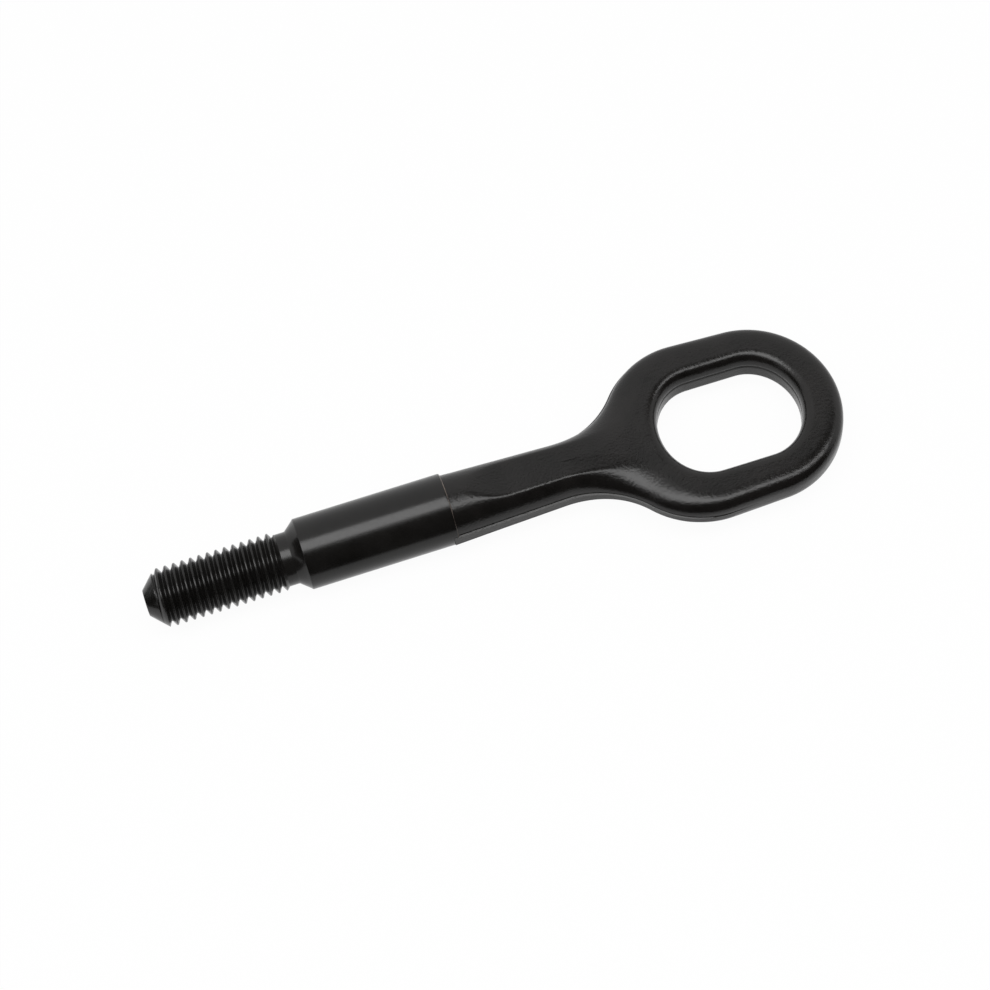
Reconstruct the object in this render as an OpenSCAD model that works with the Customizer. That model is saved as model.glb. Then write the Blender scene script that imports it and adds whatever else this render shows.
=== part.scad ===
// Screw-in tow eye: one steel forging with a turned collar and a left-hand threaded end.
// Millimetres. It lies flat: +X runs from the thread tip to the nose of the eye,
// +Y across the eye, +Z up and square to the flat faces of the eye.
// The origin is under the middle of the whole length, level with the lowest line of the collar.

/* [Threaded end] */

// Outside diameter of the thread, an M14 with 2 mm pitch, left-hand
thread_d = 14; // [12.8:0.2:15.4]

// Length from the tip to the last full crest, lead-in chamfer included
thread_l = 32.2; // [20:0.5:60]

// Flat left on the tip by the 45 degree lead-in chamfer
tip_d = 6.2; // [4:0.2:9]

// Diameter turned behind the thread, where the threading tool runs out
relief_d = 12.3; // [10.8:0.1:12.5]

// Length of that run-out groove
relief_l = 2.3; // [1:0.2:6]

/* [Collar] */

// Length of the cone that seats in the threaded socket
cone_l = 2.5; // [1:0.25:6]

// Diameter of the turned collar that the socket guides
collar_d = 16.75; // [16.4:0.05:20]

// Length of the collar, from the cone to the step down to the neck
collar_l = 35; // [20:0.5:60]

// Small chamfer on the collar at the step
collar_edge = 0.3; // [0.1:0.05:0.35]

/* [Neck] */

// Diameter of the forged neck where it leaves the collar
neck_d = 15.9; // [14.6:0.1:16]

// Diameter of the neck at its waist, just before the eye spreads out
waist_d = 14.1; // [13.4:0.1:14.4]

// Length of the tapered neck, from the collar to the waist
neck_l = 26.3; // [12:0.5:50]

// Height of the flat that trimming the forging flash left along both sides
trim_h = 2.8; // [1.6:0.2:3.4]

/* [Eye outline] */

// Length from the waist of the neck to the nose of the eye
head_l = 68; // [67.2:0.1:70]

// Greatest width of the eye, at its shoulders
shoulder_w = 45.6; // [45.1:0.1:46.8]

// Radius of the shoulders in plan
shoulder_r = 20.7; // [20:0.1:21.5]

// Radius of the hollow flank between neck and shoulder in plan
flank_r = 21.9; // [19:0.1:22.7]

// Width of the eye across the rounded nose end
nose_w = 44.3; // [43.7:0.1:45.2]

// Reach of the nose curve along the length, just under half the width
nose_l = 20.9; // [20.5:0.1:22]

// Thickness of the eye
eye_t = 9; // [8.4:0.2:11]

// How far the rounding of the outside runs in from the rim, in plan
rim_round = 5; // [4:0.1:5.4]

// How far the rounding of the opening runs out from its wall, in plan
wall_round = 3.2; // [2:0.1:3.6]

// Squareness of those roundings, 2 is a plain ellipse
section_k = 2.8; // [2.2:0.1:3.2]

/* [Opening] */

// Length of the opening along the shaft direction
open_l = 33.5; // [32:0.1:34]

// Width of the opening
open_w = 25.1; // [23:0.1:25.6]

// Metal left between the opening and the nose
nose_wall = 9.5; // [9.1:0.1:10]

// Length of the rounded neck end of the opening
open_back_l = 10.6; // [9:0.1:15]

// Length of the rounded nose end of the opening
open_front_l = 10.8; // [9:0.1:15]

// Squareness of the neck end, 2 is a plain ellipse
open_back_k = 2.05; // [1.9:0.05:2.5]

// Squareness of the nose end
open_front_k = 1.95; // [1.9:0.05:2.4]

// Height of the land that punching out the web left in the opening
land_h = 5.2; // [2:0.2:6]

/* [Hidden] */

$fn = 96;

// Lengths along the shaft, counted from the tip
total_l = thread_l + relief_l + cone_l + collar_l + neck_l + head_l;
axis_z = collar_d / 2;
x_tip = -total_l / 2;
x_relief = x_tip + thread_l;
x_cone = x_relief + relief_l;
x_collar = x_cone + cone_l;
x_neck = x_collar + collar_l;
x_waist = x_neck + neck_l;
x_nose = x_waist + head_l;

thread_r = thread_d / 2;
relief_r = relief_d / 2;
collar_r = collar_d / 2;
neck_r = neck_d / 2;
waist_r = waist_d / 2;

// The forged head starts a little inside the neck and hair-fine below its skin
sink = 0.03;
lap = 1.5;
start_r = waist_r - sink;

// Flank arc (hollow) and shoulder arc (full), tangent to each other
flank_c = [x_waist + 0.5, start_r + flank_r];
shoulder_y = shoulder_w / 2 - shoulder_r;
arc_gap = flank_r + shoulder_r;
shoulder_x = flank_c[0] + sqrt(arc_gap * arc_gap - pow(flank_c[1] - shoulder_y, 2));
shoulder_c = [shoulder_x, shoulder_y];
turn = atan2(shoulder_c[0] - flank_c[0], flank_c[1] - shoulder_c[1]);

// Nose: half an ellipse; the side is the straight line that touches shoulder and nose
nose_x = x_nose - nose_l;
nose_y = nose_w / 2;
function reach(a) = sqrt(pow(nose_l * sin(a), 2) + pow(nose_y * cos(a), 2));
function lean_step(a) = asin((shoulder_r + shoulder_y * cos(a) - reach(a)) / (nose_x - shoulder_x));
lean = lean_step(lean_step(lean_step(0)));

// Number of steps along flank, shoulder, side and nose
n_flank = 14;
n_shoulder = 16;
n_side = 2;
n_nose = 18;
n_ring = n_shoulder + n_side + n_nose;

// One stop of the outer outline is [x, y, direction away from the metal in degrees]
function flank_stop(a) = [
    flank_c[0] + flank_r * sin(a),
    flank_c[1] - flank_r * cos(a),
    90 + a
];
function shoulder_stop(a) = [
    shoulder_c[0] + shoulder_r * cos(a),
    shoulder_c[1] + shoulder_r * sin(a),
    a
];
function nose_stop(a) = [
    nose_x + nose_l * nose_l * cos(a) / reach(90 - a),
    nose_y * nose_y * sin(a) / reach(90 - a),
    a
];
function side_stop(u) = let (
    a = shoulder_stop(90 - lean),
    b = nose_stop(90 - lean)
) [a[0] + (b[0] - a[0]) * u, a[1] + (b[1] - a[1]) * u, 90 - lean];

flank_stops = [for (i = [0 : n_flank]) flank_stop(turn * i / n_flank)];
shoulder_turn = turn + lean;
shoulder_stops = [
    for (i = [1 : n_shoulder])
        shoulder_stop(90 + turn - shoulder_turn * i / n_shoulder)
];
side_stops = [for (i = [1 : n_side]) side_stop(i / n_side)];
nose_stops = [for (i = [1 : n_nose]) nose_stop((90 - lean) * (1 - i / n_nose))];
rim = concat(
    [[x_waist - lap, start_r, 90]],
    flank_stops,
    shoulder_stops,
    side_stops,
    nose_stops
);
last = len(rim) - 1;
fork = n_flank + 1;

// Opening: two rounded ends of their own squareness joined by a short straight
open_front_x = x_nose - nose_wall;
front_x = open_front_x - open_front_l;
back_x = open_front_x - open_l + open_back_l;
open_y = open_w / 2;
function ray(a, reach_x, k) = pow(
    pow(abs(cos(a)) / reach_x, k) + pow(abs(sin(a)) / open_y, k),
    -1 / k
);
function hole_normal(x, y, reach_x, k) = let (
    gx = sign(x) * pow(abs(x) / reach_x, k - 1) / reach_x,
    gy = pow(abs(y) / open_y, k - 1) / open_y
) atan2(gy, gx);
function hole_end(centre, a, reach_x, k) = let (
    r = ray(a, reach_x, k),
    x = r * cos(a),
    y = r * sin(a)
) [centre + x, y, hole_normal(x, y, reach_x, k)];

hole = concat(
    [for (i = [0 : n_shoulder])
        hole_end(back_x, 180 - 90 * i / n_shoulder, open_back_l, open_back_k)],
    [for (i = [1 : n_side])
        [back_x + (front_x - back_x) * i / n_side, open_y, 90]],
    [for (i = [1 : n_nose])
        hole_end(front_x, 90 - 90 * i / n_nose, open_front_l, open_front_k)]
);

// Half thickness, rounding and squareness: round at the waist, thinner and fuller at the eye
blend_l = 20;
function ease(u) = let (t = min(1, max(0, u))) t * t * (3 - 2 * t);
function at_eye(x) = ease((x - x_waist - 0.5) / blend_l);
function half_t(x) = start_r + (eye_t / 2 - start_r) * at_eye(x);
function rounding(x) = start_r - 0.06 + (rim_round - start_r + 0.06) * at_eye(x);
function squareness(x) = 2 + (section_k - 2) * at_eye(x);

// A quarter of the section in unit size: how far it has drawn in, and its height, at angle w
function stretch(w, k) = pow(pow(abs(cos(w)), k) + pow(abs(sin(w)), k), -1 / k);
function draw_in(w, k) = 1 - cos(w) * stretch(w, k);
function lift(w, k) = sin(w) * stretch(w, k);

// Section angles from the underside to the top; the middle three carry the trim flat
trim_a = asin(trim_h / waist_d);
quarter = 8;
up = [for (i = [0 : quarter]) trim_a + (90 - trim_a) * i / quarter];
sweep = concat([for (i = [quarter : -1 : 0]) -up[i]], [0], up);
rows = len(sweep);

// The trim flat runs out where the sides of the eye become fully round
trim_end = 24;
trim_fade = 18;
function trim_left(x) = 1 - ease((x - x_waist - trim_end) / trim_fade);

// Points of one column of the outer skin, side is +1 or -1
function skin_point(s, side, w) = let (
    p = rounding(s[0]),
    k = squareness(s[0]),
    inset = p * draw_in(abs(w) < trim_a ? trim_a * trim_left(s[0]) : w, k),
    top_x = s[0] - p * cos(s[2])
) [
    s[0] - inset * cos(s[2]),
    side * (s[1] - inset * sin(s[2])),
    half_t(top_x) * lift(w, k)
];

// Profile of the wall of the opening: [set back into the metal, height]
half_eye = eye_t / 2;
ledge = 0.3;
land_lift = (land_h / 2 + ledge) / half_eye;
land_a = atan2(land_lift, pow(1 - pow(land_lift, section_k), 1 / section_k));
wall_steps = 6;
wall_up = concat(
    [[0, land_h / 2]],
    [for (i = [0 : wall_steps])
        let (w = land_a + (90 - land_a) * i / wall_steps)
        [wall_round * draw_in(w, section_k), half_eye * lift(w, section_k)]]
);
wall = concat([for (i = [wall_steps + 1 : -1 : 0]) [wall_up[i][0], -wall_up[i][1]]], wall_up);
wall_rows = len(wall);
function wall_point(s, side, row) = [
    s[0] + row[0] * cos(s[2]),
    side * (s[1] + row[0] * sin(s[2])),
    row[1]
];

// All columns: once round the rim from neck to neck, once round the hole
rim_cols = 2 * last + 1;
hole_cols = 2 * n_ring;
function rim_col(j) = j <= last ? [rim[j], 1] : [rim[2 * last - j], -1];
function hole_col(j) = j <= n_ring ? [hole[j], 1] : [hole[2 * n_ring - j], -1];
rim_points = [
    for (j = [0 : rim_cols - 1], w = sweep)
        skin_point(rim_col(j)[0], rim_col(j)[1], w)
];
hole_points = [
    for (j = [0 : hole_cols - 1], row = wall)
        wall_point(hole_col(j)[0], hole_col(j)[1], row)
];

// Numbers of the points: rim by column and row, hole by column round and row
function rp(j, i) = j * rows + i;
function hp(j, i) = rim_cols * rows + (j % hole_cols) * wall_rows + i;
top = rows - 1;
wall_top = wall_rows - 1;
far = rim_cols - 1;

skin_faces = [
    for (j = [0 : rim_cols - 2], i = [0 : rows - 2])
        each [[rp(j, i), rp(j, i + 1), rp(j + 1, i)],
              [rp(j, i + 1), rp(j + 1, i + 1), rp(j + 1, i)]]
];
neck_top = [
    for (j = [0 : fork - 1])
        each [[rp(j, top), rp(far - j, top), rp(j + 1, top)],
              [rp(far - j, top), rp(far - j - 1, top), rp(j + 1, top)]]
];
neck_under = [
    for (j = [0 : fork - 1])
        each [[rp(j, 0), rp(j + 1, 0), rp(far - j, 0)],
              [rp(far - j, 0), rp(j + 1, 0), rp(far - j - 1, 0)]]
];
fork_faces = [
    [rp(fork, top), rp(far - fork, top), hp(0, wall_top)],
    [rp(fork, 0), hp(0, 0), rp(far - fork, 0)]
];
ring_top = [
    for (j = [0 : hole_cols - 1])
        each [[rp(fork + j, top), hp(j, wall_top), rp(fork + j + 1, top)],
              [hp(j, wall_top), hp(j + 1, wall_top), rp(fork + j + 1, top)]]
];
ring_under = [
    for (j = [0 : hole_cols - 1])
        each [[rp(fork + j, 0), rp(fork + j + 1, 0), hp(j, 0)],
              [hp(j, 0), rp(fork + j + 1, 0), hp(j + 1, 0)]]
];
wall_faces = [
    for (j = [0 : hole_cols - 1], i = [0 : wall_rows - 2])
        each [[hp(j, i), hp(j + 1, i), hp(j, i + 1)],
              [hp(j, i + 1), hp(j + 1, i), hp(j + 1, i + 1)]]
];
butt_faces = [
    for (i = [0 : rows - 2])
        each [[rp(0, i), rp(far, i), rp(0, i + 1)],
              [rp(0, i + 1), rp(far, i), rp(far, i + 1)]]
];

head_faces = concat(
    skin_faces,
    neck_top,
    neck_under,
    fork_faces,
    ring_top,
    ring_under,
    wall_faces,
    butt_faces
);

// Forged head: flank, shoulders, ring and opening in one skin, faces clockwise from outside
module forged_head() {
    polyhedron(
        points = concat(rim_points, hole_points),
        faces = [for (f = head_faces) [f[0], f[2], f[1]]],
        convexity = 6
    );
}

// Turned shaft and tapered neck as one revolved profile, [radius, length from the tip]
module turned_shaft() {
    chamfer = thread_r - tip_d / 2;
    runout = thread_r - relief_r;
    translate([x_tip, 0, 0])
        rotate([0, 90, 0])
            rotate_extrude()
                polygon([
                    [0, 0],
                    [tip_d / 2, 0],
                    [thread_r, chamfer],
                    [thread_r, thread_l - runout],
                    [relief_r, thread_l],
                    [relief_r, x_cone - x_tip],
                    [collar_r, x_collar - x_tip],
                    [collar_r, x_neck - x_tip - collar_edge],
                    [collar_r - collar_edge, x_neck - x_tip],
                    [neck_r, x_neck - x_tip],
                    [waist_r, x_waist - x_tip],
                    [0, x_waist - x_tip]
                ]);
}

// Long shallow cuts that leave the trim flats on the neck
module trim_cuts() {
    taper = atan((neck_r - waist_r) / neck_l);
    depth = waist_r * (1 - cos(trim_a));
    for (side = [0, 1])
        mirror([0, side, 0])
            translate([x_waist, start_r - depth, -neck_r])
                rotate([0, 0, -taper])
                    translate([-neck_l + 0.1, 0, 0])
                        cube([neck_l + 1, 4, neck_d]);
}

// The whole part is one solid
module tow_eye() {
    color("#2b2b2d")
        translate([0, 0, axis_z])
            union() {
                difference() {
                    turned_shaft();
                    trim_cuts();
                }
                forged_head();
            }
}

tow_eye();
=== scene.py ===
# %% [markdown]
# # A screw-in tow eye, dressed for its photograph
#
# The real part is one piece of steel. A hot bar is squeezed between two dies into a neck
# that spreads into an eye, and the excess along the edge is trimmed off. A lathe turns the
# collar, the other end gets a left-hand thread, and the whole piece gets a thin black coat.
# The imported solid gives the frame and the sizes. This lesson builds the same piece again
# as a fine mesh, with what is too fine for the solid: the true helix, the trimming band
# and the crease in the opening. Then it adds the finishes, the light and the camera.
#
# Shapes are worked out in millimetres, in plain arrays of points. They turn into metres,
# the unit of the frame, when the mesh is made.

import math

import bmesh
import bpy
import numpy as np
from mathutils import Matrix, Vector, noise


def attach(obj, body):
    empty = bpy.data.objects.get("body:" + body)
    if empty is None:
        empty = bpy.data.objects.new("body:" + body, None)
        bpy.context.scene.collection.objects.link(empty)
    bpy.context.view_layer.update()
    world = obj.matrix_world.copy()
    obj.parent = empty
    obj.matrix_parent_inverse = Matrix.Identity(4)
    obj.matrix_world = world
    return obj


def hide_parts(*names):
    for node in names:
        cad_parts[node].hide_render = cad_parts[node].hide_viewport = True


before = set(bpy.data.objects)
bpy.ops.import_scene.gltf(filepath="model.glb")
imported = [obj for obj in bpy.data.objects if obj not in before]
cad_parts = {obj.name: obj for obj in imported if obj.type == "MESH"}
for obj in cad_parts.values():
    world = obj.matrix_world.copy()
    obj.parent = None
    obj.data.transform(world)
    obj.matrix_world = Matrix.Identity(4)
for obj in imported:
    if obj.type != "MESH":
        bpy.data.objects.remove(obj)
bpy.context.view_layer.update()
scene = bpy.context.scene
MM = 0.001

# %% [markdown]
# ## Camera
#
# The picture is a close view through a long lens. A camera could be placed by eye, but an
# error in its distance would bend every other size. So it was fitted: the outline, the
# thread crests and the ends of the collar were set against the picture together. It stands
# 62 degrees above the plane of the eye, a little to the thread's side, and leans over by
# 7.5 degrees. The focal length was fitted in pixels, and the sensor's width turns it into
# the millimetres that Blender asks for.

# %% Place the camera
AXIS_Z = 8.375
CAMERA_POINT = (-55.45, -278.60, 532.35)
LOOK_AT = (-0.17, -0.23, AXIS_Z)
ROLL = -7.466
SENSOR, FOCAL_PIXELS, PICTURE_PIXELS = 36.0, 2600, 990
LENS = SENSOR * FOCAL_PIXELS / PICTURE_PIXELS
NEAREST = 10.0


def aim(obj, place, target, roll=0.0):
    """Put obj at place, looking at target (mm), turned by roll degrees about its view."""
    eye, goal = Vector(place) * MM, Vector(target) * MM
    turn = (goal - eye).to_track_quat("-Z", "Y").to_matrix().to_4x4()
    obj.matrix_world = (Matrix.Translation(eye) @ turn
                        @ Matrix.Rotation(math.radians(roll), 4, "Z"))


camera = bpy.data.objects.new("camera", bpy.data.cameras.new("camera"))
scene.collection.objects.link(camera)
camera.data.sensor_width = SENSOR
camera.data.lens = LENS
camera.data.clip_start = NEAREST * MM
aim(camera, CAMERA_POINT, LOOK_AT, ROLL)
scene.camera = camera
distance = (Vector(CAMERA_POINT) - Vector(LOOK_AT)).length
print("lens", round(LENS, 1), "mm, distance", round(distance), "mm")

# %% [markdown]
# ## Stations along the shaft
#
# A turned and forged part is easiest to draw from stations, the places on its axis where
# one form ends and the next begins. They come from the same named lengths as the solid,
# so the dressed piece lies on the solid with no fitting.

# %% Stations from the threaded tip to the nose
THREAD_L, RELIEF_L, CONE_L, COLLAR_L, NECK_L, HEAD_L = 32.2, 2.3, 2.5, 35.0, 26.3, 68.0
TOTAL = THREAD_L + RELIEF_L + CONE_L + COLLAR_L + NECK_L + HEAD_L
X_TIP = -TOTAL / 2
X_RELIEF = X_TIP + THREAD_L
X_CONE = X_RELIEF + RELIEF_L
X_COLLAR = X_CONE + CONE_L
X_NECK = X_COLLAR + COLLAR_L
X_WAIST = X_NECK + NECK_L
X_NOSE = X_WAIST + HEAD_L
print("whole length", round(TOTAL, 2), "mm, collar from", round(X_COLLAR, 2),
      "to", round(X_NECK, 2), "mm, waist at", round(X_WAIST, 2), "mm")

# %% [markdown]
# ## Turned end
#
# On the real part a lathe turns the collar, the cone that seats in the socket and the
# groove behind the thread, so each section there is a circle. A Screw modifier could spin
# a profile, but a stack of rings lets the thread and the plain parts share one skin. Each
# ring is a place along the axis and a radius for every step round it. Small rounded edges
# are rings too, because a real edge always catches a thin line of light.

# %% Rings and rounded edges
SECTORS = 144
TURN = np.linspace(-math.pi, math.pi, SECTORS + 1)


def ring(x, r):
    """One lathe ring: the same x and radius all round."""
    return np.full(SECTORS + 1, float(x)), np.full(SECTORS + 1, float(r))


def edge_rings(x, r, start, end, radius, steps=4):
    """Rings round a small edge whose centre is (x, r); angles from +x in degrees."""
    angles = np.radians(np.linspace(start, end, steps + 1))
    return [ring(x + radius * math.cos(a), r + radius * math.sin(a)) for a in angles]


print("sectors round the axis", SECTORS, "=", 360 / SECTORS, "degrees each")

# %% [markdown]
# ## Left-hand thread
#
# The thread is rolled or cut with a pitch of 2 mm. A bump map could only fake it, and the
# outline would stay smooth, so the helix is real geometry. Half a profile is written down,
# from the middle of a crest to the middle of a root, as distances along the axis and radii.
# It has a rounded top and a flank of 30 degrees, and the other half is its mirror image.
# The rows of points climb by one pitch a turn, and because the thread is left-hand they
# climb the other way round. Where a row would leave the threaded length it is held at the
# end, which closes the skin by itself. A chamfer of 45 degrees leads the thread into its
# socket, and a short slope ends it at the groove.

# %% Profile of one thread
PITCH = 2.0
HALF_THREAD = [(0.0, 6.915), (0.09, 6.905), (0.17, 6.865), (0.235, 6.795), (0.30, 6.70),
               (0.58, 6.22), (0.86, 5.735), (0.93, 5.68), (1.0, 5.66)]
THREAD = [(-along, r) for along, r in HALF_THREAD[:0:-1]] + HALF_THREAD[:-1]
print("points on one thread", len(THREAD))

# %% Helical rows from the lead-in chamfer to the groove
TIP_R, THREAD_FOOT_R, RELIEF_R = 3.1, 5.6, 6.15
FIRST_CREST_L, FIRST_TURN, LAST_TURN = 4.08, -2, 17
X_START = X_TIP + (THREAD_FOOT_R - TIP_R)
END_GAP = 0.1
X_RUNOUT = X_RELIEF - END_GAP
RUNOUT_L, RUNOUT_SLOPE, RUNOUT_LIP = 1.2, 0.62, 0.15


def thread_rows():
    """The rows of every turn; the first and last turns are partly held at the ends."""
    rows = []
    for turn in range(FIRST_TURN, LAST_TURN + 1):
        for along, radius in THREAD:
            x = X_TIP + FIRST_CREST_L + PITCH * (turn + TURN / (2 * math.pi)) + along
            free = (x >= X_START) & (x <= X_RUNOUT)
            x = np.clip(x, X_START, X_RUNOUT)
            chamfer = TIP_R + (x - X_TIP)
            end_slope = RELIEF_R + (X_RUNOUT - x)
            run_out = RELIEF_R - RUNOUT_SLOPE * np.maximum(X_RUNOUT - x - RUNOUT_LIP, 0)
            r = np.where(free, radius, RELIEF_R)
            r = np.maximum(r, np.where(x > X_RUNOUT - RUNOUT_L, run_out, 0))
            rows.append((x, np.minimum(np.minimum(r, chamfer), end_slope)))
    return rows


threaded = thread_rows()
print("thread rows", len(threaded), "from", round(X_START, 2), "to", round(X_RUNOUT, 2))

# %% [markdown]
# ## Groove, seating cone and collar
#
# Behind the thread lies a groove in which the thread can end, then the cone that seats on
# the socket's chamfer, then the collar that the socket guides. They could be separate
# cylinders and cones, but one stack of rings keeps every corner closed. The rings round the
# corner of the collar at the step to the neck are counted: later they get a painted
# highlight, a lighter colour along that edge. The last ring is tucked inside the neck.

# %% Stack the rings from the tip to the step
COLLAR_R, NECK_R = AXIS_Z, 7.95
MIDDLE_R, TIP_EDGE, FRONT_EDGE, STEP_EDGE = 0.02, 0.12, 0.3, 0.38
CONE_FOOT, CONE_FOOT_RISE, CONE_END_BACK, CONE_END_DROP = 0.3, 0.05, 0.35, 0.37
EDGE_AT = 0.12
COLLAR_FROM, COLLAR_TO, COLLAR_RINGS = 0.6, 0.75, 12
# How many steps round the step's corner carry the painted highlight, and how far the last
# ring is tucked in.
HIGHLIGHT_STEPS, NECK_TUCK = 4, 0.4

lathe = [ring(X_TIP, MIDDLE_R), ring(X_TIP, TIP_R - TIP_EDGE)]
lathe += edge_rings(X_TIP + TIP_EDGE, TIP_R - TIP_EDGE, 180, 135, TIP_EDGE)
lathe += threaded
lathe += [ring(X_RELIEF, RELIEF_R), ring(X_CONE - CONE_FOOT, RELIEF_R)]
lathe += [ring(X_CONE, RELIEF_R + CONE_FOOT_RISE)]
lathe += [ring(X_COLLAR - CONE_END_BACK, COLLAR_R - CONE_END_DROP)]
lathe += edge_rings(X_COLLAR + EDGE_AT, COLLAR_R - FRONT_EDGE, 135, 90, FRONT_EDGE)
plain = np.linspace(X_COLLAR + COLLAR_FROM, X_NECK - COLLAR_TO, COLLAR_RINGS)
lathe += [ring(x, COLLAR_R) for x in plain]
# The rings round the step's corner are counted here: they get the painted highlight.
highlight_rings = (len(lathe), len(lathe) + HIGHLIGHT_STEPS)
lathe += edge_rings(X_NECK - STEP_EDGE, COLLAR_R - STEP_EDGE, 90, 0, STEP_EDGE, steps=6)
lathe += [ring(X_NECK, NECK_R - NECK_TUCK)]
print("lathe rings", len(lathe), "of which rubbed", highlight_rings)


# %% Points and faces of the turned end
def quads_of(grid, start=0, flip=False):
    """Four-cornered faces of a grid of points whose first point has the number start."""
    n, m = grid.shape[:2]
    index = start + np.arange(n * m).reshape(n, m)
    corners = [index[:-1, :-1], index[:-1, 1:], index[1:, 1:], index[1:, :-1]]
    quads = np.stack(corners, -1).reshape(-1, 4)
    return quads[:, ::-1] if flip else quads


ring_x = np.array([row[0] for row in lathe])
ring_r = np.array([row[1] for row in lathe])
turned_grid = np.stack([ring_x, ring_r * np.sin(TURN), AXIS_Z + ring_r * np.cos(TURN)], -1)
turned_quads = quads_of(turned_grid)
turned_points = turned_grid.reshape(-1, 3)
print("turned end:", len(turned_points), "points,", len(turned_quads), "quads")

# %% [markdown]
# ## Outline of the forged end
#
# Seen from above, a die maker draws the forging with a few simple curves: the tapered neck,
# a hollow flank, a round shoulder, a nearly straight side and an elliptical nose. A traced
# outline would carry every wobble of the picture, so these curves are worked out from
# named sizes, each tangent to the next. A stop on the outline is a place and the angle
# that points away from the metal there, because the section is later drawn inwards from it.

# %% Curves that touch each other
SHOULDER_W, SHOULDER_R, FLANK_R = 45.6, 20.7, 21.9
NOSE_W, NOSE_L = 44.3, 20.9
WAIST_R, WAIST_DIP, HOLLOW_GAP = 7.05, 0.03, 0.5
START_R = WAIST_R - WAIST_DIP
flank_c = np.array([X_WAIST + HOLLOW_GAP, START_R + FLANK_R])
shoulder_y = SHOULDER_W / 2 - SHOULDER_R
drop = flank_c[1] - shoulder_y
shoulder_x = flank_c[0] + math.sqrt((FLANK_R + SHOULDER_R) ** 2 - drop ** 2)
turn_in = math.atan2(shoulder_x - flank_c[0], drop)
nose_x, nose_y = X_NOSE - NOSE_L, NOSE_W / 2


def nose_reach(a):
    """How far the nose's ellipse reaches from its middle toward a side that leans by a."""
    return np.sqrt((NOSE_L * np.sin(a)) ** 2 + (nose_y * np.cos(a)) ** 2)


# The side leans by the angle at which it touches both shoulder and nose. Each round of
# this loop starts from the last one's angle, and a few rounds settle it.
LEAN_ROUNDS = 4
lean = 0.0
for _ in range(LEAN_ROUNDS):
    fall = SHOULDER_R + shoulder_y * math.cos(lean) - nose_reach(lean)
    lean = math.asin(fall / (nose_x - shoulder_x))
print("flank turns", round(math.degrees(turn_in), 1), "degrees, side leans",
      round(math.degrees(lean), 2), "degrees")

# %% Stops along the outside
NECK_STEPS, FLANK_STEPS, SHOULDER_STEPS, SIDE_STEPS, NOSE_STEPS = 35, 26, 36, 8, 46
INSIDE_COLLAR, TAPER_MARGIN = 1.2, 0.1


def stops(x, y, away):
    return np.stack([x, y, away], -1)


def neck_radius(x):
    """The neck's taper from the collar to the waist; beyond the waist it stays."""
    return NECK_R + (START_R - NECK_R) * np.clip((x - X_NECK) / NECK_L, -TAPER_MARGIN, 1)


def outline():
    """All stops of one side, from inside the collar to the nose, and where the eye forks."""
    x = np.linspace(X_NECK - INSIDE_COLLAR, X_WAIST, NECK_STEPS + 1)[:-1]
    neck = stops(x, neck_radius(x), np.full_like(x, math.pi / 2))
    a = turn_in * np.linspace(0, 1, FLANK_STEPS + 1)
    flank = stops(flank_c[0] + FLANK_R * np.sin(a), flank_c[1] - FLANK_R * np.cos(a),
                  math.pi / 2 + a)
    a = math.pi / 2 + turn_in - (turn_in + lean) * np.linspace(0, 1, SHOULDER_STEPS + 1)[1:]
    shoulder = stops(shoulder_x + SHOULDER_R * np.cos(a),
                     shoulder_y + SHOULDER_R * np.sin(a), a)
    a = (math.pi / 2 - lean) * (1 - np.linspace(0, 1, NOSE_STEPS + 1))
    d = nose_reach(math.pi / 2 - a)
    nose = stops(nose_x + NOSE_L ** 2 * np.cos(a) / d, nose_y ** 2 * np.sin(a) / d, a)
    u = np.linspace(0, 1, SIDE_STEPS + 1)[1:, None]
    side = shoulder[-1] + (nose[0] - shoulder[-1]) * u
    return np.vstack([neck, flank, shoulder, side, nose[1:]]), len(neck) + len(flank) - 1


rim, fork = outline()
print("stops on one side", len(rim), "of which round the eye", len(rim) - fork)

# %% [markdown]
# ## Outline of the opening
#
# A punch cuts the opening, so its outline is a slot whose two ends are a little fuller or
# leaner than half circles. A superellipse draws such an end with one number: 2 is a true
# ellipse, and more is squarer. A Boolean modifier could cut the slot out, but it leaves
# slivers that shade badly. So the opening gets as many stops as the outside has from the
# fork to the nose, in step with them, and rows of faces can join the two.

# %% Stops round the opening
OPEN_L, OPEN_W, NOSE_WALL = 33.5, 25.1, 9.5
BACK_L, FRONT_L, BACK_K, FRONT_K = 10.6, 10.8, 2.05, 1.95


def slot_end(centre, a, length, k):
    """Stops on one end of the slot, at the angles a round its centre; k is its fullness."""
    half, c, s = OPEN_W / 2, np.cos(a), np.sin(a)
    r = (np.abs(c / length) ** k + np.abs(s / half) ** k) ** (-1 / k)
    x, y = r * c, r * s
    away_x = np.sign(x) * (np.abs(x) / length) ** (k - 1) / length
    away_y = (np.abs(y) / half) ** (k - 1) / half
    return stops(centre + x, y, np.arctan2(away_y, away_x))


def opening():
    front = X_NOSE - NOSE_WALL
    back_c, front_c = front - OPEN_L + BACK_L, front - FRONT_L
    a = math.pi - math.pi / 2 * np.linspace(0, 1, SHOULDER_STEPS + 1)
    back = slot_end(back_c, a, BACK_L, BACK_K)
    u = np.linspace(0, 1, SIDE_STEPS + 1)[1:]
    side = stops(back_c + (front_c - back_c) * u, OPEN_W / 2 + 0 * u, math.pi / 2 + 0 * u)
    a = math.pi / 2 * (1 - np.linspace(0, 1, NOSE_STEPS + 1)[1:])
    return np.vstack([back, side, slot_end(front_c, a, FRONT_L, FRONT_K)])


hole = opening()
print("stops round one side of the opening", len(hole))

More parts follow.
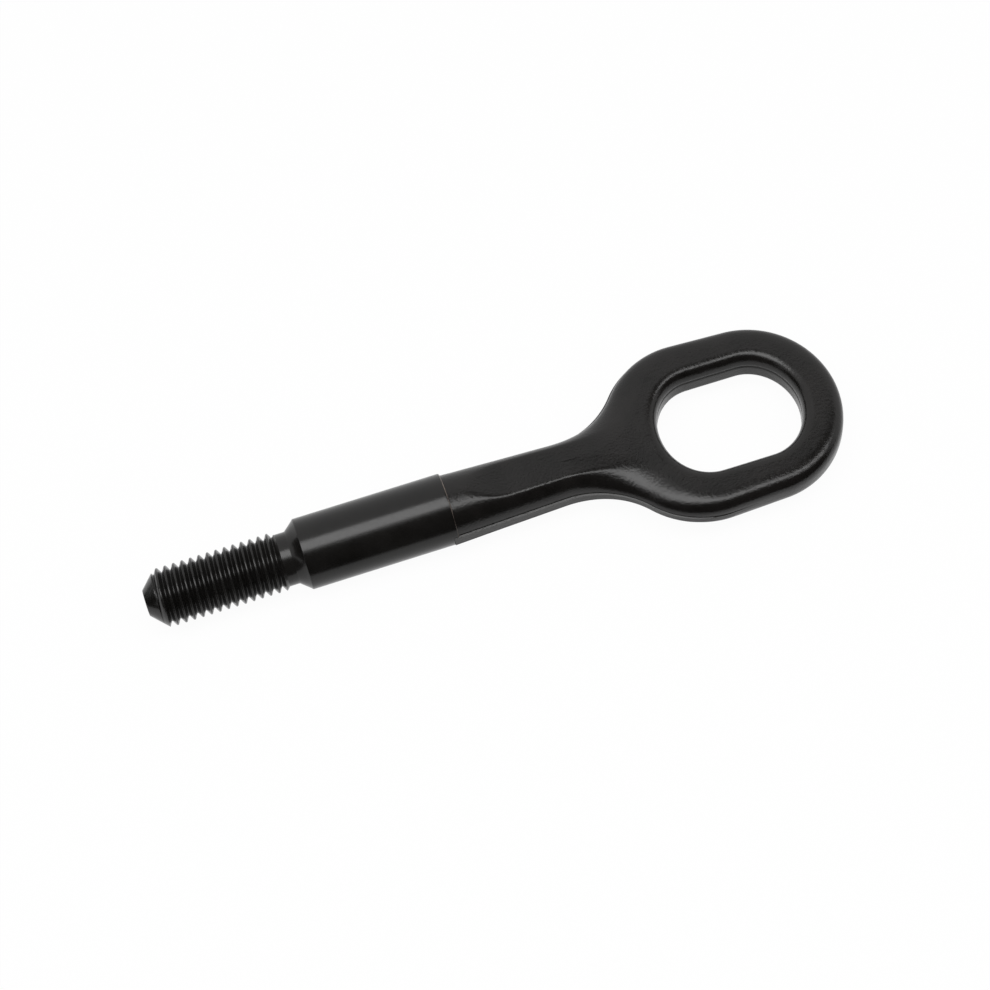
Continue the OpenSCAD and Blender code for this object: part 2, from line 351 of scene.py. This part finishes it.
# %% [markdown]
# ## Section of the forged end
#
# Steel squeezed between two dies comes out round on the neck and flatter and squarer round
# the eye. A loft between two drawn sections would need many of them, so one formula gives
# the section at every place: a superellipse whose thickness, rounding and squareness ease
# from the neck's values to the eye's. On the neck the dies have also pressed the top and
# the bottom flat, and where the neck spreads, the rounding reaches a little further in.

# %% How the section eases from neck to eye
EYE_T, RIM_ROUND = 9.0, 5.0
BLEND_L, ROUNDING_L = 20.0, 34.0
FLATTEN_L, NECK_SLIM = 14.0, 0.985
FLANK_X, FLANK_REACH, FLANK_SWELL = 29.5, 14.5, 2.1


def ease(u):
    """A soft step from 0 to 1 while u goes from 0 to 1."""
    t = np.clip(u, 0.0, 1.0)
    return t * t * (3 - 2 * t)


def at_eye(x):
    """0 on the neck, 1 where the metal has the thickness of the eye."""
    return ease((x - X_WAIST - HOLLOW_GAP) / BLEND_L)


def half_thickness(x):
    neck = neck_radius(x) * NECK_SLIM
    return neck + (EYE_T / 2 - neck) * at_eye(x)


def rounding(x):
    """How far in from the outline the flat face begins."""
    settled = ease((x - X_WAIST - HOLLOW_GAP) / ROUNDING_L)
    swell = np.cos(np.clip((x - FLANK_X) / FLANK_REACH, -1, 1) * math.pi / 2) ** 2
    return neck_radius(x) + (RIM_ROUND - START_R) * settled + FLANK_SWELL * swell


for name, x in (("collar", X_NECK), ("waist", X_WAIST), ("eye", X_NOSE - NOSE_L)):
    print(name, "half thickness", round(float(half_thickness(x)), 2), "mm, rounding",
          round(float(rounding(x)), 2), "mm")

# %% The unit section, and how the dies press it flat on the neck
NECK_CAP, FREE_CAP, CAP_EDGE, LOWEST = 0.85, 1.06, 60, 0.05
CAP_FADE_FROM, CAP_FADE_L = 4, 22.0


def section(w, k):
    """Unit section at angle w and squareness k: how far drawn in, and how high."""
    m = (np.abs(np.cos(w)) ** k + np.abs(np.sin(w)) ** k) ** (1 / k)
    return 1 - np.cos(w) / m, np.sin(w) / m


def pressed(lift, x):
    """The height of the unit section under a flat cap, which is out of reach at the eye."""
    fades = 1 - ease((x - X_WAIST - CAP_FADE_FROM) / CAP_FADE_L)
    cap = FREE_CAP - (FREE_CAP - NECK_CAP) * ease((x - X_NECK) / FLATTEN_L) * fades
    low = np.maximum(np.abs(lift), LOWEST)
    return (low ** -CAP_EDGE + cap ** -CAP_EDGE) ** (-1 / CAP_EDGE)


print("top of the section at the waist", round(float(pressed(1.0, X_WAIST)), 3),
      "and at the nose", round(float(pressed(1.0, X_NOSE)), 3))

# %% [markdown]
# ## Trimming band
#
# Where the dies meet, steel is squeezed out, and a trimming tool shears it off. That leaves
# a narrow upright band along neck and shoulders which stands a little proud, with a crease
# above and below it. Round the eye the band runs out. A separate strip laid over the skin
# would leave a seam, so the band is made with the skin itself: the rows between two sweep
# angles are moved out to it, and the next row on each side is close by, so that the
# creases stay sharp.

# %% The outer skin
BAND_LOW, BAND_HIGH, PROUD = -15.0, 6.0, 0.27
CREASE_STEP, NEXT_STEP, BAND_MARGIN = 1.2, 3, 0.1
BAND_FADE_FROM, BAND_FADE_L = 24.0, 18.0
SQUARE_FROM, SQUARE_L, NECK_K, RIM_K = 12, 26.0, 2.25, 3.0
PRESS_FROM = 0.3
ROWS_BELOW, BAND_ROWS, ROWS_ABOVE = 40, 7, 44
SWEEP = np.radians(np.concatenate([
    np.linspace(-90, BAND_LOW - NEXT_STEP, ROWS_BELOW), [BAND_LOW - CREASE_STEP],
    np.linspace(BAND_LOW, BAND_HIGH, BAND_ROWS),
    [BAND_HIGH + CREASE_STEP], np.linspace(BAND_HIGH + NEXT_STEP, 90, ROWS_ABOVE),
]))


def outer_skin(stop, side):
    """One side's skin: a row for each sweep angle, a column for each stop."""
    x, y, a = stop[:, 0][None], stop[:, 1][None], stop[:, 2][None]
    w = SWEEP[:, None]
    p = rounding(x)
    face_x = x - p * np.cos(a)
    squareness = NECK_K + (RIM_K - NECK_K) * ease((x - X_WAIST - SQUARE_FROM) / SQUARE_L)
    draw, lift = section(w, squareness)
    lift = np.where(np.abs(lift) > PRESS_FROM, np.sign(lift) * pressed(lift, face_x), lift)
    slim = neck_radius(x) * (1 - NECK_SLIM) * (1 - at_eye(x))
    inset = slim + (p - slim) * draw
    band_left = 1 - ease((x - X_WAIST - BAND_FADE_FROM) / BAND_FADE_L)
    on_band = ((w > math.radians(BAND_LOW - BAND_MARGIN))
               & (w < math.radians(BAND_HIGH + BAND_MARGIN)))
    inset = np.where(on_band, inset + (-PROUD - inset) * band_left, inset)
    z = half_thickness(face_x) * lift
    return np.stack([x - inset * np.cos(a), side * (y - inset * np.sin(a)), z], -1)


left_skin, right_skin = outer_skin(rim, 1), outer_skin(rim, -1)
skin_grid = np.concatenate([left_skin, right_skin[:, ::-1][:, 1:]], 1)
print("outer skin", skin_grid.shape[0], "rows by", skin_grid.shape[1], "columns")

# %% [markdown]
# ## Wall of the opening
#
# The dies round the edges of the opening above and below, and the punch leaves an upright
# land between them. Below, the land ends in a hair of a ledge. Above, it ends in a ragged
# crease, the bright line inside the opening in the picture. A bevel would give only an even
# edge, so the wall is a list of rows, each so far out from the land and so high, and every
# row is carried round the stops of the opening. A little noise lets the crease wander.

# %% Rows of the wall, from the top edge down
LAND_H, LEDGE, WALL_ROUND, SECTION_K = 5.2, 0.3, 3.2, 2.8
CREASE_Z = 1.45
CREASE = [(0.10, 0.15), (0.17, 0.32), (0.14, 0.50), (0.03, 0.66)]
EDGE_ROWS, SHORT_ROWS, LAND_ROWS = 15, 6, 7
LAND_FROM, LAND_MARGIN = 0.8, 0.1
FOOT_OUT, FOOT_BELOW, STEP_SHARE, STEP_BELOW = 0.05, 0.02, 0.6, 0.12
half_eye = EYE_T / 2


def wall_angle(height):
    """The sweep angle at which the rounded wall has that share of its full height."""
    return math.atan2(height, (1 - height ** SECTION_K) ** (1 / SECTION_K))


def wall_rows(angles):
    draw, lift = section(angles, SECTION_K)
    return list(zip(WALL_ROUND * draw, half_eye * lift))


land_a = wall_angle((LAND_H / 2 + LEDGE) / half_eye)
crease_a = wall_angle(CREASE_Z / half_eye)
edge_rows = wall_rows(np.linspace(math.pi / 2, land_a, EDGE_ROWS))
step_out = edge_rows[-1][0]
WALL = edge_rows + wall_rows(np.linspace(land_a, crease_a, SHORT_ROWS)[1:])
WALL += [(out, CREASE_Z - below) for out, below in CREASE]
land = np.linspace(CREASE_Z - LAND_FROM, -LAND_H / 2 + LAND_MARGIN, LAND_ROWS)
WALL += [(0.0, z) for z in land]
WALL += [(FOOT_OUT, -LAND_H / 2 - FOOT_BELOW)]
WALL += [(step_out * STEP_SHARE, -LAND_H / 2 - STEP_BELOW)]
WALL += [(out, -z) for out, z in edge_rows[::-1]]
WALL = np.array(WALL)
print("wall rows", len(WALL), "ledge", round(step_out, 2), "mm wide")

# %% The wall, carried round the opening
RAGGED, RAGGED_WAVES, RAGGED_LAYER = 0.10, 0.3, 3.0
RAGGED_MIDDLE, RAGGED_REACH = 0.3, 0.5


def both_sides(one_side):
    """Stops of both sides in one run: out along +Y, back along -Y, nose once."""
    return np.concatenate([one_side, one_side[::-1][1:] * np.array([1, -1, -1])])


round_hole = both_sides(hole)
co, si = np.cos(round_hole[:, 2]), np.sin(round_hole[:, 2])
out, height = WALL[:, 0][:, None], WALL[:, 1][:, None]
ragged = np.array([
    RAGGED * noise.noise(Vector((RAGGED_WAVES * h[0], RAGGED_WAVES * h[1], RAGGED_LAYER)))
    for h in round_hole])
near_crease = np.exp(-((height - CREASE_Z + RAGGED_MIDDLE) / RAGGED_REACH) ** 2)
height = height + ragged * near_crease
wall_grid = np.stack([round_hole[:, 0] + out * co, round_hole[:, 1] + out * si,
                      height + 0 * co], -1)
print("wall of the opening", wall_grid.shape[0], "rows by", wall_grid.shape[1], "columns")

# %% [markdown]
# ## Flat faces
#
# Between the two rounded rims lies the flat face that the die pressed. Filling it with one
# many-sided face would shade badly, so it is made of two webs of quads: one goes straight
# across the neck up to the fork, and one goes from rim to opening all the way round the
# eye. Each uses the points that the skin and the wall already have, so no gap can open.

# %% The webs, above and below
WEB_ROWS = 7


def webs(level):
    """The two webs of the face at that sweep row: 0 below, -1 above."""
    sign = -1 if level == 0 else 1
    edge = left_skin[level]
    lip = wall_grid[-1 if level == 0 else 0]
    across = np.linspace(0, 1, 2 * WEB_ROWS + 1)
    neck_web = []
    for j in range(NECK_STEPS, fork + 1):
        pull = ease((j - NECK_STEPS) / (fork - NECK_STEPS)) * (lip[0, 0] - edge[fork, 0])
        x = edge[j, 0] + pull * (1 - np.abs(1 - 2 * across))
        y = edge[j, 1] * (1 - 2 * across)
        z = sign * half_thickness(x) * pressed(1.0, x)
        neck_web.append(np.stack([x, y, z], -1))
    neck_web[0][:, 1] = 0.0
    mirrored = (edge[fork:] * np.array([1, -1, 1]))[::-1][1:]
    rim_run = np.concatenate([edge[fork:], mirrored])
    t = np.linspace(0, 1, WEB_ROWS + 1)[:, None, None]
    return np.array(neck_web), rim_run[None] * (1 - t) + lip[None] * t


forged_grids = [(skin_grid, False), (wall_grid, False)]
for level, flip in ((-1, False), (0, True)):
    neck_web, eye_web = webs(level)
    forged_grids += [(neck_web, flip), (eye_web, not flip)]
print("forged skin in", len(forged_grids), "grids")

# %% Points and faces of the forged end
forged_points, forged_quads, count = [], [], 0
for grid, flip in forged_grids:
    forged_quads.append(quads_of(grid, count, flip))
    forged_points.append(grid.reshape(-1, 3))
    count += grid.shape[0] * grid.shape[1]
forged_points = np.concatenate(forged_points) + np.array([0, 0, AXIS_Z])
forged_quads = np.concatenate(forged_quads)
print("forged end:", len(forged_points), "points,", len(forged_quads), "quads")

# %% [markdown]
# ## One mesh
#
# Both ends go into one mesh, because the real thing is one piece of steel. Each face
# remembers which finish it gets. Two objects pushed together would be quicker, but then
# the part could be pulled apart, and the model has to be one solid piece.

# %% Put both ends into one mesh
# Finish numbers; the third is the painted highlight on the step's corner.
TURNED, FORGED, PAINTED_HIGHLIGHT_FINISH = 0, 1, 2
mesh = bpy.data.meshes.new("tow_eye_skin")
all_points = np.concatenate([turned_points, forged_points]) * MM
all_quads = np.concatenate([turned_quads, forged_quads + len(turned_points)])
mesh.from_pydata(all_points.tolist(), [], all_quads.tolist())
finish_of = np.full(len(all_quads), FORGED, np.int32)
finish_of[:len(turned_quads)] = TURNED
# The faces round the step's corner get the painted highlight's lighter colour.
finish_of[(highlight_rings[0] + 1) * SECTORS:highlight_rings[1] * SECTORS] = PAINTED_HIGHLIGHT_FINISH
mesh.polygons.foreach_set("material_index", finish_of)
print("faces turned, forged and rubbed:", np.bincount(finish_of).tolist())

# %% [markdown]
# ## Seams, die surface and lean
#
# Doubled points on the seams are merged. A hot die wears, so the forged skin isn't a
# perfect surface: it gets long, shallow waves a few hundredths of a millimetre high, which
# make the highlights wander. A Displace modifier could do that too, but only the forged
# points may move, so that the collar keeps its exact size. On this part the forging also
# sits 0.26 mm off the turned axis, and the head leans by 0.4 degrees, as forged parts do.
# The noise is a fixed function of place, so each run gives the same surface.

# %% Merge the seams and shape the forged skin
MERGE, COLLAPSE = 0.002, 0.001
DIE_WAVE, DIE_WAVES_PER_MM = 0.030, 0.10
DIE_GRAIN, DIE_GRAINS_PER_MM, GRAIN_OFFSET = 0.006, 0.40, Vector((7, 3, 1))
DIE_SINK, WAVES_FADE_IN = 0.02, 3.0
HEAD_LEAN, NECK_SHIFT, SHIFT_FADE_L = math.radians(-0.40), -0.26, 30.0

shaped = bmesh.new()
shaped.from_mesh(mesh)
bmesh.ops.remove_doubles(shaped, verts=shaped.verts, dist=MERGE * MM)
bmesh.ops.dissolve_degenerate(shaped, edges=shaped.edges, dist=COLLAPSE * MM)
bmesh.ops.recalc_face_normals(shaped, faces=shaped.faces)
shaped.normal_update()
forged_verts = {v for f in shaped.faces if f.material_index == FORGED for v in f.verts}
for v in forged_verts:
    p = v.co / MM
    waves = DIE_WAVE * noise.noise(p * DIE_WAVES_PER_MM)
    waves += DIE_GRAIN * noise.noise(p * DIE_GRAINS_PER_MM + GRAIN_OFFSET)
    past_step = min(1.0, max(0.0, (p.x - X_NECK) / WAVES_FADE_IN))
    v.co += v.normal * (waves - DIE_SINK) * past_step * MM
    past_waist = max(p.x - X_WAIST, 0.0)
    off_axis = NECK_SHIFT * (1 - float(ease((p.x - X_WAIST) / SHIFT_FADE_L)))
    v.co.y += (past_waist * math.sin(HEAD_LEAN) + off_axis) * MM
shaped.to_mesh(mesh)
shaped.free()
print("merged mesh:", len(mesh.vertices), "points,", len(mesh.polygons), "faces, forged",
      len(forged_verts), "points")

# %% Shade it smooth with crisp edges, and place it
SHARP_FROM = 32
for face in mesh.polygons:
    face.use_smooth = True
mesh.set_sharp_from_angle(angle=math.radians(SHARP_FROM))
piece = bpy.data.objects.new("tow_eye_skin", mesh)
scene.collection.objects.link(piece)
print("tow eye:", [round(v / MM, 2) for v in piece.dimensions], "mm")

# %% [markdown]
# ## Tools for the finishes
#
# One function turns a colour as a painter writes it, sRGB hex, into the linear value that
# a shader wants. One adds a node with its settings and links, which keeps a node tree as
# readable as a list. Patterns take their scale from a real size in millimetres.

# %% Colour, node and scale
def linear(text):
    """A colour written as sRGB hex, as linear RGBA."""
    parts = [int(text[i:i + 2], 16) / 255 for i in (1, 3, 5)]
    return tuple(c / 12.92 if c <= 0.04045 else ((c + 0.055) / 1.055) ** 2.4
                 for c in parts) + (1.0,)


def add(tree, kind, settings=None, **links):
    """Add one node. settings are its attributes. links are its inputs, joined or set,
    each by its name with _ for a space, or by i and its number."""
    node = tree.nodes.new(kind)
    for key, value in (settings or {}).items():
        setattr(node, key, value)
    for key, value in links.items():
        numbered = key[0] == "i" and key[1:].isdigit()
        socket = node.inputs[int(key[1:]) if numbered else key.replace("_", " ")]
        if isinstance(value, bpy.types.NodeSocket):
            tree.links.new(value, socket)
        else:
            socket.default_value = value
    return node


def per_mm(wavelength):
    """Noise scale for object coordinates in metres, from a wavelength in millimetres."""
    return 1.0 / (wavelength * MM)


print("white", linear("#ffffff")[:3], "and a noise of 1 mm has scale", per_mm(1.0))

# %% [markdown]
# ## Black phosphate coat
#
# The steel is black-phosphated and oiled. The coat is a crust of tiny dark crystals, not a
# metal to the eye, so metallic stays 0 and the IOR stays at 1.5. Dry phosphate is dull,
# with a roughness of 0.5 or more. Oil fills it, so the roughness was brought down until
# the highlights had the picture's sharpness, and the specular level with it. Two quiet
# patterns keep it from looking like plastic: clouds of about 9 mm where the oil lies
# thicker, and a grain of gloss. Real crystals are far finer than a pixel, which is about
# 0.23 mm here, so the grain is drawn 0.9 mm wide to show at all.

# %% A recipe for the coat on any surface
CLOUD_MM, GRAIN_MM = 9.0, 0.9
CLOUD_FROM, CLOUD_TO, GRAIN_FROM, GRAIN_TO = 0.32, 0.70, 0.3, 0.7
COAT_SPECULAR = 0.32


def phosphate_coat(name, dark, light, rough_low, rough_high, bumps, stretch=None):
    """The coat over a surface whose bumps are (wavelength, depth) pairs in mm."""
    material = bpy.data.materials.new(name)
    material.use_nodes = True
    tree = material.node_tree
    tree.nodes.clear()
    place = add(tree, "ShaderNodeTexCoord").outputs["Object"]
    cloud = add(tree, "ShaderNodeTexNoise", Vector=place, Scale=per_mm(CLOUD_MM),
                Detail=6.0, Roughness=0.62)
    tint = add(tree, "ShaderNodeValToRGB", Fac=cloud.outputs["Fac"])
    ends = ((CLOUD_FROM, dark), (CLOUD_TO, light))
    for element, (position, colour) in zip(tint.color_ramp.elements, ends):
        element.position, element.color = position, linear(colour)
    grain = add(tree, "ShaderNodeTexNoise", Vector=place, Scale=per_mm(GRAIN_MM),
                Detail=4.0, Roughness=0.6)
    gloss = add(tree, "ShaderNodeMapRange", Value=grain.outputs["Fac"],
                From_Min=GRAIN_FROM, From_Max=GRAIN_TO, To_Min=rough_low, To_Max=rough_high)
    shader = add(tree, "ShaderNodeBsdfPrincipled", Base_Color=tint.outputs["Color"],
                 Roughness=gloss.outputs["Result"], Specular_IOR_Level=COAT_SPECULAR)
    if stretch:
        place = add(tree, "ShaderNodeMapping", Vector=place, Scale=stretch).outputs["Vector"]
    below = {}
    for wavelength, depth in bumps:
        field = add(tree, "ShaderNodeTexNoise", Vector=place, Scale=per_mm(wavelength),
                    Detail=3.0, Roughness=0.55)
        bump = add(tree, "ShaderNodeBump", Height=field.outputs["Fac"],
                   Distance=depth * MM, Strength=1.0, **below)
        below = {"Normal": bump.outputs["Normal"]}
    tree.links.new(below["Normal"], shader.inputs["Normal"])
    add(tree, "ShaderNodeOutputMaterial", Surface=shader.outputs["BSDF"])
    print(name, "has", len(tree.nodes), "nodes")
    return material


# %% [markdown]
# ## Three surfaces under one coat
#
# The thread and the collar are turned, so their tool marks run round the axis. The neck
# and the eye are forged and blasted, so they are uneven in all directions. The corner at
# the step gets a painted highlight, a lighter line of colour. An image could carry all
# this, but noise in object space needs no unwrapping and stays sharp at any distance.

# %% Make the three finishes and put them on
# Phosphate on lathe-turned steel. To the eye it is nearly black and the smoothest part of
# the piece, with one clean highlight and the faintest rings. Real feed marks are about
# 0.15 mm apart, less than a pixel, so they are drawn 0.7 mm apart.
turned = phosphate_coat("turned_steel_black_phosphate", "#0f0e0d", "#191817", 0.17, 0.25,
                        [(0.7, 0.006)], stretch=(1.0, 0.06, 0.06))
# Phosphate on forged and blasted steel. To the eye it is a satin black whose highlights
# break up at their edges. The die's own waves are 2.6 mm long. The pits of blasting are
# about 0.2 mm wide, and are drawn 0.6 mm wide so that they show.
forged = phosphate_coat("forged_steel_black_phosphate", "#0f0e0d", "#1b1918", 0.18, 0.28,
                        [(2.6, 0.024), (0.6, 0.055)])
# Phosphate on the step's corner, duller, with a painted highlight: its colour is a pale grey
# with a warm touch, a line that stands for the edge's highlight. Bumps are drawn 0.8 mm
# long.
painted_highlight = phosphate_coat("black_phosphate_painted_highlight", "#1b1816", "#7d7068", 0.28, 0.40,
                        [(0.8, 0.01)])
for finish in (turned, forged, painted_highlight):
    piece.data.materials.append(finish)
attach(piece, "root")
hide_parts("tow_eye")

# %% [markdown]
# ## White table and white world
#
# The picture is on pure white. Lamps strong enough to make paper that white would wash out
# a black part, so floor and world show white only to the rays that carry a picture: those
# of the camera, and those that a glossy or clear surface sends on. Every other ray finds a
# dimmer world and matt paper. The paper keeps a small matt share even for the camera, and
# that share holds the part's soft shadow.

# %% Which rays see white
def seen_rays(tree):
    """1 for camera, glossy and transmission rays, 0 for the rays that light things."""
    path = add(tree, "ShaderNodeLightPath")
    seen = add(tree, "ShaderNodeMath", {"operation": "MAXIMUM"},
               i0=path.outputs["Is Camera Ray"], i1=path.outputs["Is Glossy Ray"])
    seen = add(tree, "ShaderNodeMath", {"operation": "MAXIMUM"},
               i0=seen.outputs[0], i1=path.outputs["Is Transmission Ray"])
    return seen.outputs[0]


# %% The world
WHITE, SEEN_WHITE, FILL = linear("#ffffff"), 1.0, 0.28
world = bpy.data.worlds.new("studio")
scene.world = world
world.use_nodes = True
tree = world.node_tree
tree.nodes.clear()
white = add(tree, "ShaderNodeBackground", Color=WHITE, Strength=SEEN_WHITE)
fill = add(tree, "ShaderNodeBackground", Color=WHITE, Strength=FILL)
mix = add(tree, "ShaderNodeMixShader", Fac=seen_rays(tree),
          i1=fill.outputs[0], i2=white.outputs[0])
add(tree, "ShaderNodeOutputWorld", Surface=mix.outputs[0])
print("world shows", SEEN_WHITE, "and lights with", FILL)

# %% The floor, matt white paper
# Paper is a matt, pressed surface with no highlight, so a plain diffuse shader is enough.
FLOOR_SIZE, GLOW_SHARE = 6.0, 0.96


def plane(name, size_x, size_y):
    """A flat sheet round its own origin, sizes in metres."""
    sheet = bpy.data.meshes.new(name)
    a, b = size_x / 2, size_y / 2
    sheet.from_pydata([(-a, -b, 0), (a, -b, 0), (a, b, 0), (-a, b, 0)], [], [(0, 1, 2, 3)])
    obj = bpy.data.objects.new(name, sheet)
    scene.collection.objects.link(obj)
    return obj


floor = plane("floor", FLOOR_SIZE, FLOOR_SIZE)
paper = bpy.data.materials.new("matt_white_paper")
paper.use_nodes = True
tree = paper.node_tree
tree.nodes.clear()
share = add(tree, "ShaderNodeMath", {"operation": "MULTIPLY"},
            i0=seen_rays(tree), i1=GLOW_SHARE)
matt = add(tree, "ShaderNodeBsdfDiffuse", Color=linear("#f4f4f4"))
glow = add(tree, "ShaderNodeEmission", Color=WHITE, Strength=SEEN_WHITE)
mix = add(tree, "ShaderNodeMixShader", Fac=share.outputs[0],
          i1=matt.outputs[0], i2=glow.outputs[0])
add(tree, "ShaderNodeOutputMaterial", Surface=mix.outputs[0])
floor.data.materials.append(paper)
print("floor", FLOOR_SIZE, "m square")

# %% [markdown]
# ## Two softboxes
#
# A glossy black part is drawn by what it mirrors. In the picture one highlight runs along
# the shaft and another lies over the eye, with a dark gap between them. One large box
# would join the two, so there are two, a metre above the table and facing straight down:
# one over the shaft, one beyond the nose. Their power was matched to the tones of the
# picture, and stays low, so that a colour renders about as it is written.

# %% Hang the softboxes
LAMP_HEIGHT = 1000


def softbox(name, x, y, size_x, size_y, watts):
    """A soft rectangular lamp above (x, y) in mm, its sides in metres."""
    light = bpy.data.lights.new(name, "AREA")
    light.shape = "RECTANGLE"
    light.size, light.size_y = size_x, size_y
    light.energy = watts
    obj = bpy.data.objects.new(name, light)
    scene.collection.objects.link(obj)
    aim(obj, (x, y, LAMP_HEIGHT), (x, y, 0))
    obj.visible_camera = False
    print(name, "gives", round(watts / (size_x * size_y), 1), "W per square metre")


softbox("overhead_shaft", -280, -90, 0.86, 0.52, 6.6)
softbox("overhead_eye", 625, -210, 0.95, 0.28, 3.9)

# %% [markdown]
# ## Dark cards
#
# Beside a shiny part on white, a photographer holds black cards, so that its edges are
# drawn dark and don't drown in the white. Here they are sheets that only mirror rays see:
# the camera looks through them, and they take no light from the part. One stands on the
# photographer's side and one lies on the table before it, which gives the dark lower half
# of the shaft. One closes the gap between the lamps. Two at the threaded end darken the
# cone and the flanks of the thread.

# %% Place the dark cards
# Matt black card: no highlight at all, so its specular level is 0.
black = bpy.data.materials.new("matt_black_card")
black.use_nodes = True
card_shader = black.node_tree.nodes["Principled BSDF"]
card_shader.inputs["Base Color"].default_value = linear("#050505")
card_shader.inputs["Specular IOR Level"].default_value = 0.0


def dark_card(name, size_x, size_y, place, tilt_x=0, tilt_y=0):
    """A black card for mirror rays only; sizes and place in metres, tilts in degrees."""
    card = plane(name, size_x, size_y)
    card.rotation_euler = (math.radians(tilt_x), math.radians(tilt_y), 0)
    card.location = place
    card.data.materials.append(black)
    card.visible_camera = False
    card.visible_diffuse = False
    card.visible_shadow = False
    card.visible_transmission = False
    print(name, "at", place, "m")


dark_card("dark_side", 2.6, 1.0, (0, -0.46, 0.40), tilt_x=90)
dark_card("dark_table", 2.6, 0.41, (0, -0.25, 0.001))
dark_card("dark_gap", 0.90, 0.52, (0.60, 0.19, 1.01))
dark_card("dark_end", 0.30, 0.42, (-0.55, 0.09, 0.15), tilt_y=90)
dark_card("dark_end_table", 0.43, 0.16, (-0.335, -0.02, 0.0014))

# %% [markdown]
# ## View
#
# The Standard view shows each colour as it is written. A filmic view would lift the blacks
# and grey the white table.

# %% Set the view
scene.view_settings.view_transform = "Standard"
